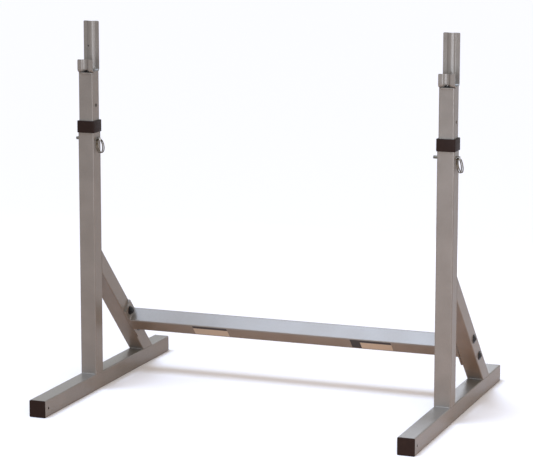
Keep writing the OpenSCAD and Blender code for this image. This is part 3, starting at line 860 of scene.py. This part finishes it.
def frame_lines(side, outward, sizes, corner):
    """The joints of one side frame that are welded: (start, end, along one wall, along the other, leg)."""
    low, high = node_box(f"{side}_fixed_upright")
    brace_low, brace_high = node_box(f"{side}_brace")
    floor, toe = low[2], TOE_SPAN * (high[0] - low[0])
    lines = []
    for y, z, first, second, leg in (
            (low[1], floor, -BACK, UP, sizes.foot_leg),
            (high[1], floor, BACK, UP, sizes.foot_leg),
            (brace_high[1] - toe, floor, -BACK, FRONT_UP, sizes.leg),
            (brace_high[1], floor, BACK, FRONT_UP, sizes.leg),
            (brace_low[1], brace_high[2] - toe, -UP, -FRONT_UP, sizes.leg),
            (brace_low[1], brace_high[2], UP, -FRONT_UP, sizes.leg)):
        start = np.array([low[0] + corner, y, z])
        lines.append((start, start + (high[0] - low[0] - 2 * corner) * ACROSS, first, second, leg))
    for x, away in ((low[0], -ACROSS), (high[0], ACROSS)):
        middle = x * ACROSS + floor * UP - corner * (GROOVE_IN * away + GROOVE_DOWN * UP)
        walls = [out * away + up * UP for out, up in GROOVE_WALLS]
        start, end = (middle + y * BACK for y in (low[1] + corner, high[1] - corner))
        lines.append((start, end, *walls, GROOVE_LEG * sizes.leg))
    beam_low, beam_high = node_box("cross_beam")
    middle = (beam_low + beam_high) / 2 * (BACK + UP) + (beam_low if outward < 0 else beam_high) * ACROSS
    reach = (beam_half(corner) - corner) * FRONT_DOWN
    for away in (FRONT_UP, -FRONT_UP):
        edge = middle + beam_half(corner) * away
        lines.append((edge - reach, edge + reach, away, -outward * ACROSS, sizes.leg))
    return lines


def hook_lines(side, sizes, corner):
    """The joints between a hook and its inner upright, two across and two along."""
    low, high = node_box(f"{side}_inner_upright")
    lines = []
    for y, away in ((low[1] + corner / 2, -BACK), (high[1] - corner / 2, BACK)):
        start, end = (np.array([x, y, high[2] - corner / 6]) for x in (low[0] + corner, high[0] - corner))
        lines.append((start, end, *(out * away + up * UP for out, up in HOOK_WALLS), 2 * sizes.small_leg))
    for x, away in ((low[0], -ACROSS), (high[0], ACROSS)):
        start, end = (np.array([x, y, high[2]]) for y in (low[1] + 2 * corner, high[1] - 2 * corner))
        lines.append((start, end, -UP, HOOK_SIDE_WALL * away, sizes.small_leg))
    return lines


def channel_fill(side, hooks, thickness, steps=16):
    """Points and faces of the weld metal that closes the hook's channel over the inner upright's rear wall.

    Its outline is the part of a circle above the upright's top: the circle is the rear face of the rib.
    """
    low, high = node_box(f"{side}_inner_upright")
    half, rise = hooks.rib_width / 2, hooks.rib_height
    radius = (half ** 2 + rise ** 2) / (2 * rise) - hooks.thickness
    sink = radius - rise
    open_angle = math.acos(sink / radius)
    angle = np.linspace(-open_angle, open_angle, steps)
    x, z = (low[0] + high[0]) / 2 + radius * np.sin(angle), high[2] - sink + radius * np.cos(angle)
    rows = [np.column_stack([x, np.full(steps, y), z]) for y in (high[1] - thickness, high[1])]
    return closed_by_fans(np.array(rows))


class SQUATSTAND_OT_welds(bpy.types.Operator):
    """Lay the weld beads where the steel parts meet"""
    bl_idname = "squat_stand.welds"
    bl_label = "Weld beads"

    def execute(self, context):
        sizes, corner = context.scene.squat_stand_welds, context.scene.squat_stand_tubes.corner
        for side, outward in OUTWARD.items():
            frame_beads = [bead(*line, sizes) for line in frame_lines(side, outward, sizes, corner)]
            hook_beads = [bead(*line, sizes) for line in hook_lines(side, sizes, corner)]
            hook_beads.append(channel_fill(side, context.scene.squat_stand_hooks, sizes.fill))
            for name, body, beads in (
                    ("frame", "frame", frame_beads), ("hook", f"{side}_slider", hook_beads)):
                piece = mesh_object(f"{side}_{name}_welds", *joined(beads), smooth_below=60)
                dress(piece, body, "paint", "silver_powder_coat")
        return {"FINISHED"}


class SQUATSTAND_OT_labels(bpy.types.Operator):
    """Stick the two blank labels on the cross beam's lower front face"""
    bl_idname = "squat_stand.labels"
    bl_label = "Blank labels"

    def execute(self, context):
        sizes = context.scene.squat_stand_labels
        low, high = node_box("cross_beam")
        face = beam_half(context.scene.squat_stand_tubes.corner) * FRONT_DOWN
        middle = (low + high) / 2 * (BACK + UP) + face
        left = (sizes.left_start, sizes.left_end)
        right = (sizes.right_start + sizes.tab, sizes.right_end)
        pale_height = sizes.height - sizes.band
        pale = (sizes.rise - sizes.band / 2, pale_height, "pale_label_film")
        band = (sizes.rise + pale_height / 2, sizes.band, "dark_label_film")
        tab = (sizes.rise, sizes.height, "dark_label_film")
        thick = sizes.thickness
        section = [(0, -thick), (0, thick - sizes.edge), (thick / 2, thick)]
        for name, (start, end), (level, height, finish) in (
                ("left_blank_label", left, pale), ("left_label_band", left, band),
                ("right_blank_label", right, pale), ("right_label_band", right, band),
                ("right_label_tab", (sizes.right_start, right[0]), tab)):
            points, faces = closed_by_fans(turned_in(section, end - start, height, sizes.corner))
            place = middle + (start + end) / 2 * ACROSS + level * FRONT_UP
            piece = mesh_object(name, put(points, place, ACROSS, FRONT_UP, FRONT_DOWN), faces)
            dress(piece, "frame", "paint", finish)
        return {"FINISHED"}


def lamp(name, kind, strength, tint, turns, place=(0, 0, 0), **settings):
    """A lamp that shines down, and is turned about X and Z. The camera doesn't see it."""
    light = bpy.data.lights.new(name, kind)
    light.energy, light.color = strength, tint
    for setting, value in settings.items():
        setattr(light, setting, value)
    made = bpy.data.objects.new(name, light)
    made.location, made.rotation_euler, made.visible_camera = place, turns, False
    bpy.context.scene.collection.objects.link(made)


def seen_directly(tree):
    """1 for rays from the camera, from a reflection or through glass, and 0 for light that bounces."""
    camera, glossy, through = (
        add_node(tree, "LightPath", output=f"Is {kind} Ray") for kind in ("Camera", "Glossy", "Transmission"))
    direct = add_node(tree, "Math", [camera, glossy], operation="MAXIMUM")
    return add_node(tree, "Math", [direct, through], operation="MAXIMUM")


def studio_paper(stage, side_reach=0.8, fade_start=1.2, fade_end=3.0):
    """Paper that is seen in its own colour, and throws back light in tones that turn with the place on it.

    The left and right tones are full at the side reach, and turn to the far tone over the fade's distances.
    """
    paper = bpy.data.materials.new("studio_floor")
    paper.use_nodes = True
    tree = paper.node_tree
    tree.nodes.clear()
    place = add_node(tree, "TexCoord", output="Object")
    across = add_node(tree, "SeparateXYZ", [place], output="X")
    away = add_node(tree, "VectorMath", [place], operation="LENGTH")
    side = add_node(tree, "MapRange", {"Value": across, "From Min": -side_reach, "From Max": side_reach})
    far = add_node(tree, "MapRange", {"Value": away, "From Min": fade_start, "From Max": fade_end})
    near_tone = add_node(tree, "Mix", [side, stage.bounce_left, stage.bounce_right], data_type="RGBA")
    tone = add_node(tree, "Mix", [far, near_tone, stage.bounce_far], data_type="RGBA")
    thrown = add_node(tree, "BsdfDiffuse", {"Color": tone})
    seen = add_node(tree, "BsdfDiffuse", {"Color": stage.ground})
    mixed = add_node(tree, "MixShader", [seen_directly(tree), thrown, seen])
    add_node(tree, "OutputMaterial", {"Surface": mixed})
    return paper


class SQUATSTAND_OT_stage(bpy.types.Operator):
    """Set the white floor, the soft lamps and the camera"""
    bl_idname = "squat_stand.stage"
    bl_label = "Studio"

    def execute(self, context):
        scene, stage = context.scene, context.scene.squat_stand_stage
        mesh = bpy.data.meshes.new("studio_floor")
        corners = [(x * FLOOR_REACH, y * FLOOR_REACH, 0) for x, y in ((-1, -1), (1, -1), (1, 1), (-1, 1))]
        mesh.from_pydata(corners, [], [(0, 1, 2, 3)])
        mesh.materials.append(studio_paper(stage))
        floor = bpy.data.objects.new("studio_floor", mesh)
        scene.collection.objects.link(floor)

        scene.world = bpy.data.worlds.new("studio")
        scene.world.use_nodes = True
        tree = scene.world.node_tree
        tree.nodes.clear()
        seen = add_node(tree, "Background", {"Color": stage.backdrop, "Strength": 1.0})
        even = add_node(tree, "Background", {"Color": stage.sky_tint, "Strength": stage.sky})
        mixed = add_node(tree, "MixShader", [seen_directly(tree), even, seen])
        add_node(tree, "OutputWorld", {"Surface": mixed})

        key_turns = (QUARTER - stage.key_height, 0, stage.key_turn)
        lamp("key_sun", "SUN", stage.key, stage.key_tint, key_turns, angle=stage.key_size)
        for name, power, (width, height, place, turn) in (
                ("soft_box", stage.box_power, FRONT_BOX), ("rear_box", stage.rear_power, REAR_BOX)):
            turns = (QUARTER, 0, math.radians(turn))
            lamp(name, "AREA", power, stage.box_tint, turns, place, shape="RECTANGLE", size=width,
                 size_y=height)

        data = bpy.data.cameras.new("camera")
        data.lens, data.clip_end = stage.lens, 4 * FLOOR_REACH
        data.shift_x, data.shift_y = stage.shift_x, stage.shift_y
        camera = bpy.data.objects.new("camera", data)
        camera.location = stage.camera
        camera.rotation_euler = (QUARTER - stage.camera_dip, 0, stage.camera_turn)
        scene.collection.objects.link(camera)
        scene.camera = camera
        scene.view_settings.view_transform = "Standard"
        return {"FINISHED"}


class SQUATSTAND_PT_panel(bpy.types.Panel):
    """Lists the sizes, colours and pieces of the squat stand"""
    bl_idname = "SQUATSTAND_PT_panel"
    bl_label = "Squat Stand"
    bl_space_type = "VIEW_3D"
    bl_region_type = "UI"
    bl_category = "Squat Stand"

    def draw(self, context):
        for name, group in SETTINGS.items():
            box = self.layout.box()
            box.label(text=name.replace("squat_stand_", "").capitalize())
            for key in group.__annotations__:
                box.prop(getattr(context.scene, name), key)
        for maker in MAKERS:
            self.layout.operator(maker.bl_idname)


MAKERS = (
    SQUATSTAND_OT_finishes, SQUATSTAND_OT_hooks, SQUATSTAND_OT_rings, SQUATSTAND_OT_moulded,
    SQUATSTAND_OT_fasteners, SQUATSTAND_OT_welds, SQUATSTAND_OT_labels, SQUATSTAND_OT_stage)
SETTINGS = {
    "squat_stand_tubes": TubeSizes, "squat_stand_hooks": HookSizes, "squat_stand_rings": RingSizes,
    "squat_stand_moulded": MouldedSizes, "squat_stand_welds": WeldSizes, "squat_stand_labels": LabelSizes,
    "squat_stand_fasteners": FastenerSizes, "squat_stand_colours": FinishColours,
    "squat_stand_stage": StageSettings}
CLASSES = tuple(SETTINGS.values()) + MAKERS + (SQUATSTAND_PT_panel,)


def register():
    """Adds the classes and their settings."""
    for item in CLASSES:
        bpy.utils.register_class(item)
    for name, group in SETTINGS.items():
        setattr(bpy.types.Scene, name, PointerProperty(type=group))


def unregister():
    """Removes the settings and the classes."""
    for name in SETTINGS:
        delattr(bpy.types.Scene, name)
    for item in reversed(CLASSES):
        bpy.utils.unregister_class(item)


def main():
    register()
    bpy.ops.squat_stand.finishes()
    bpy.ops.squat_stand.hooks()
    bpy.ops.squat_stand.rings()
    bpy.ops.squat_stand.moulded()
    bpy.ops.squat_stand.fasteners()
    bpy.ops.squat_stand.welds()
    bpy.ops.squat_stand.labels()
    bpy.ops.squat_stand.stage()


if __name__ == "__main__":
    main()
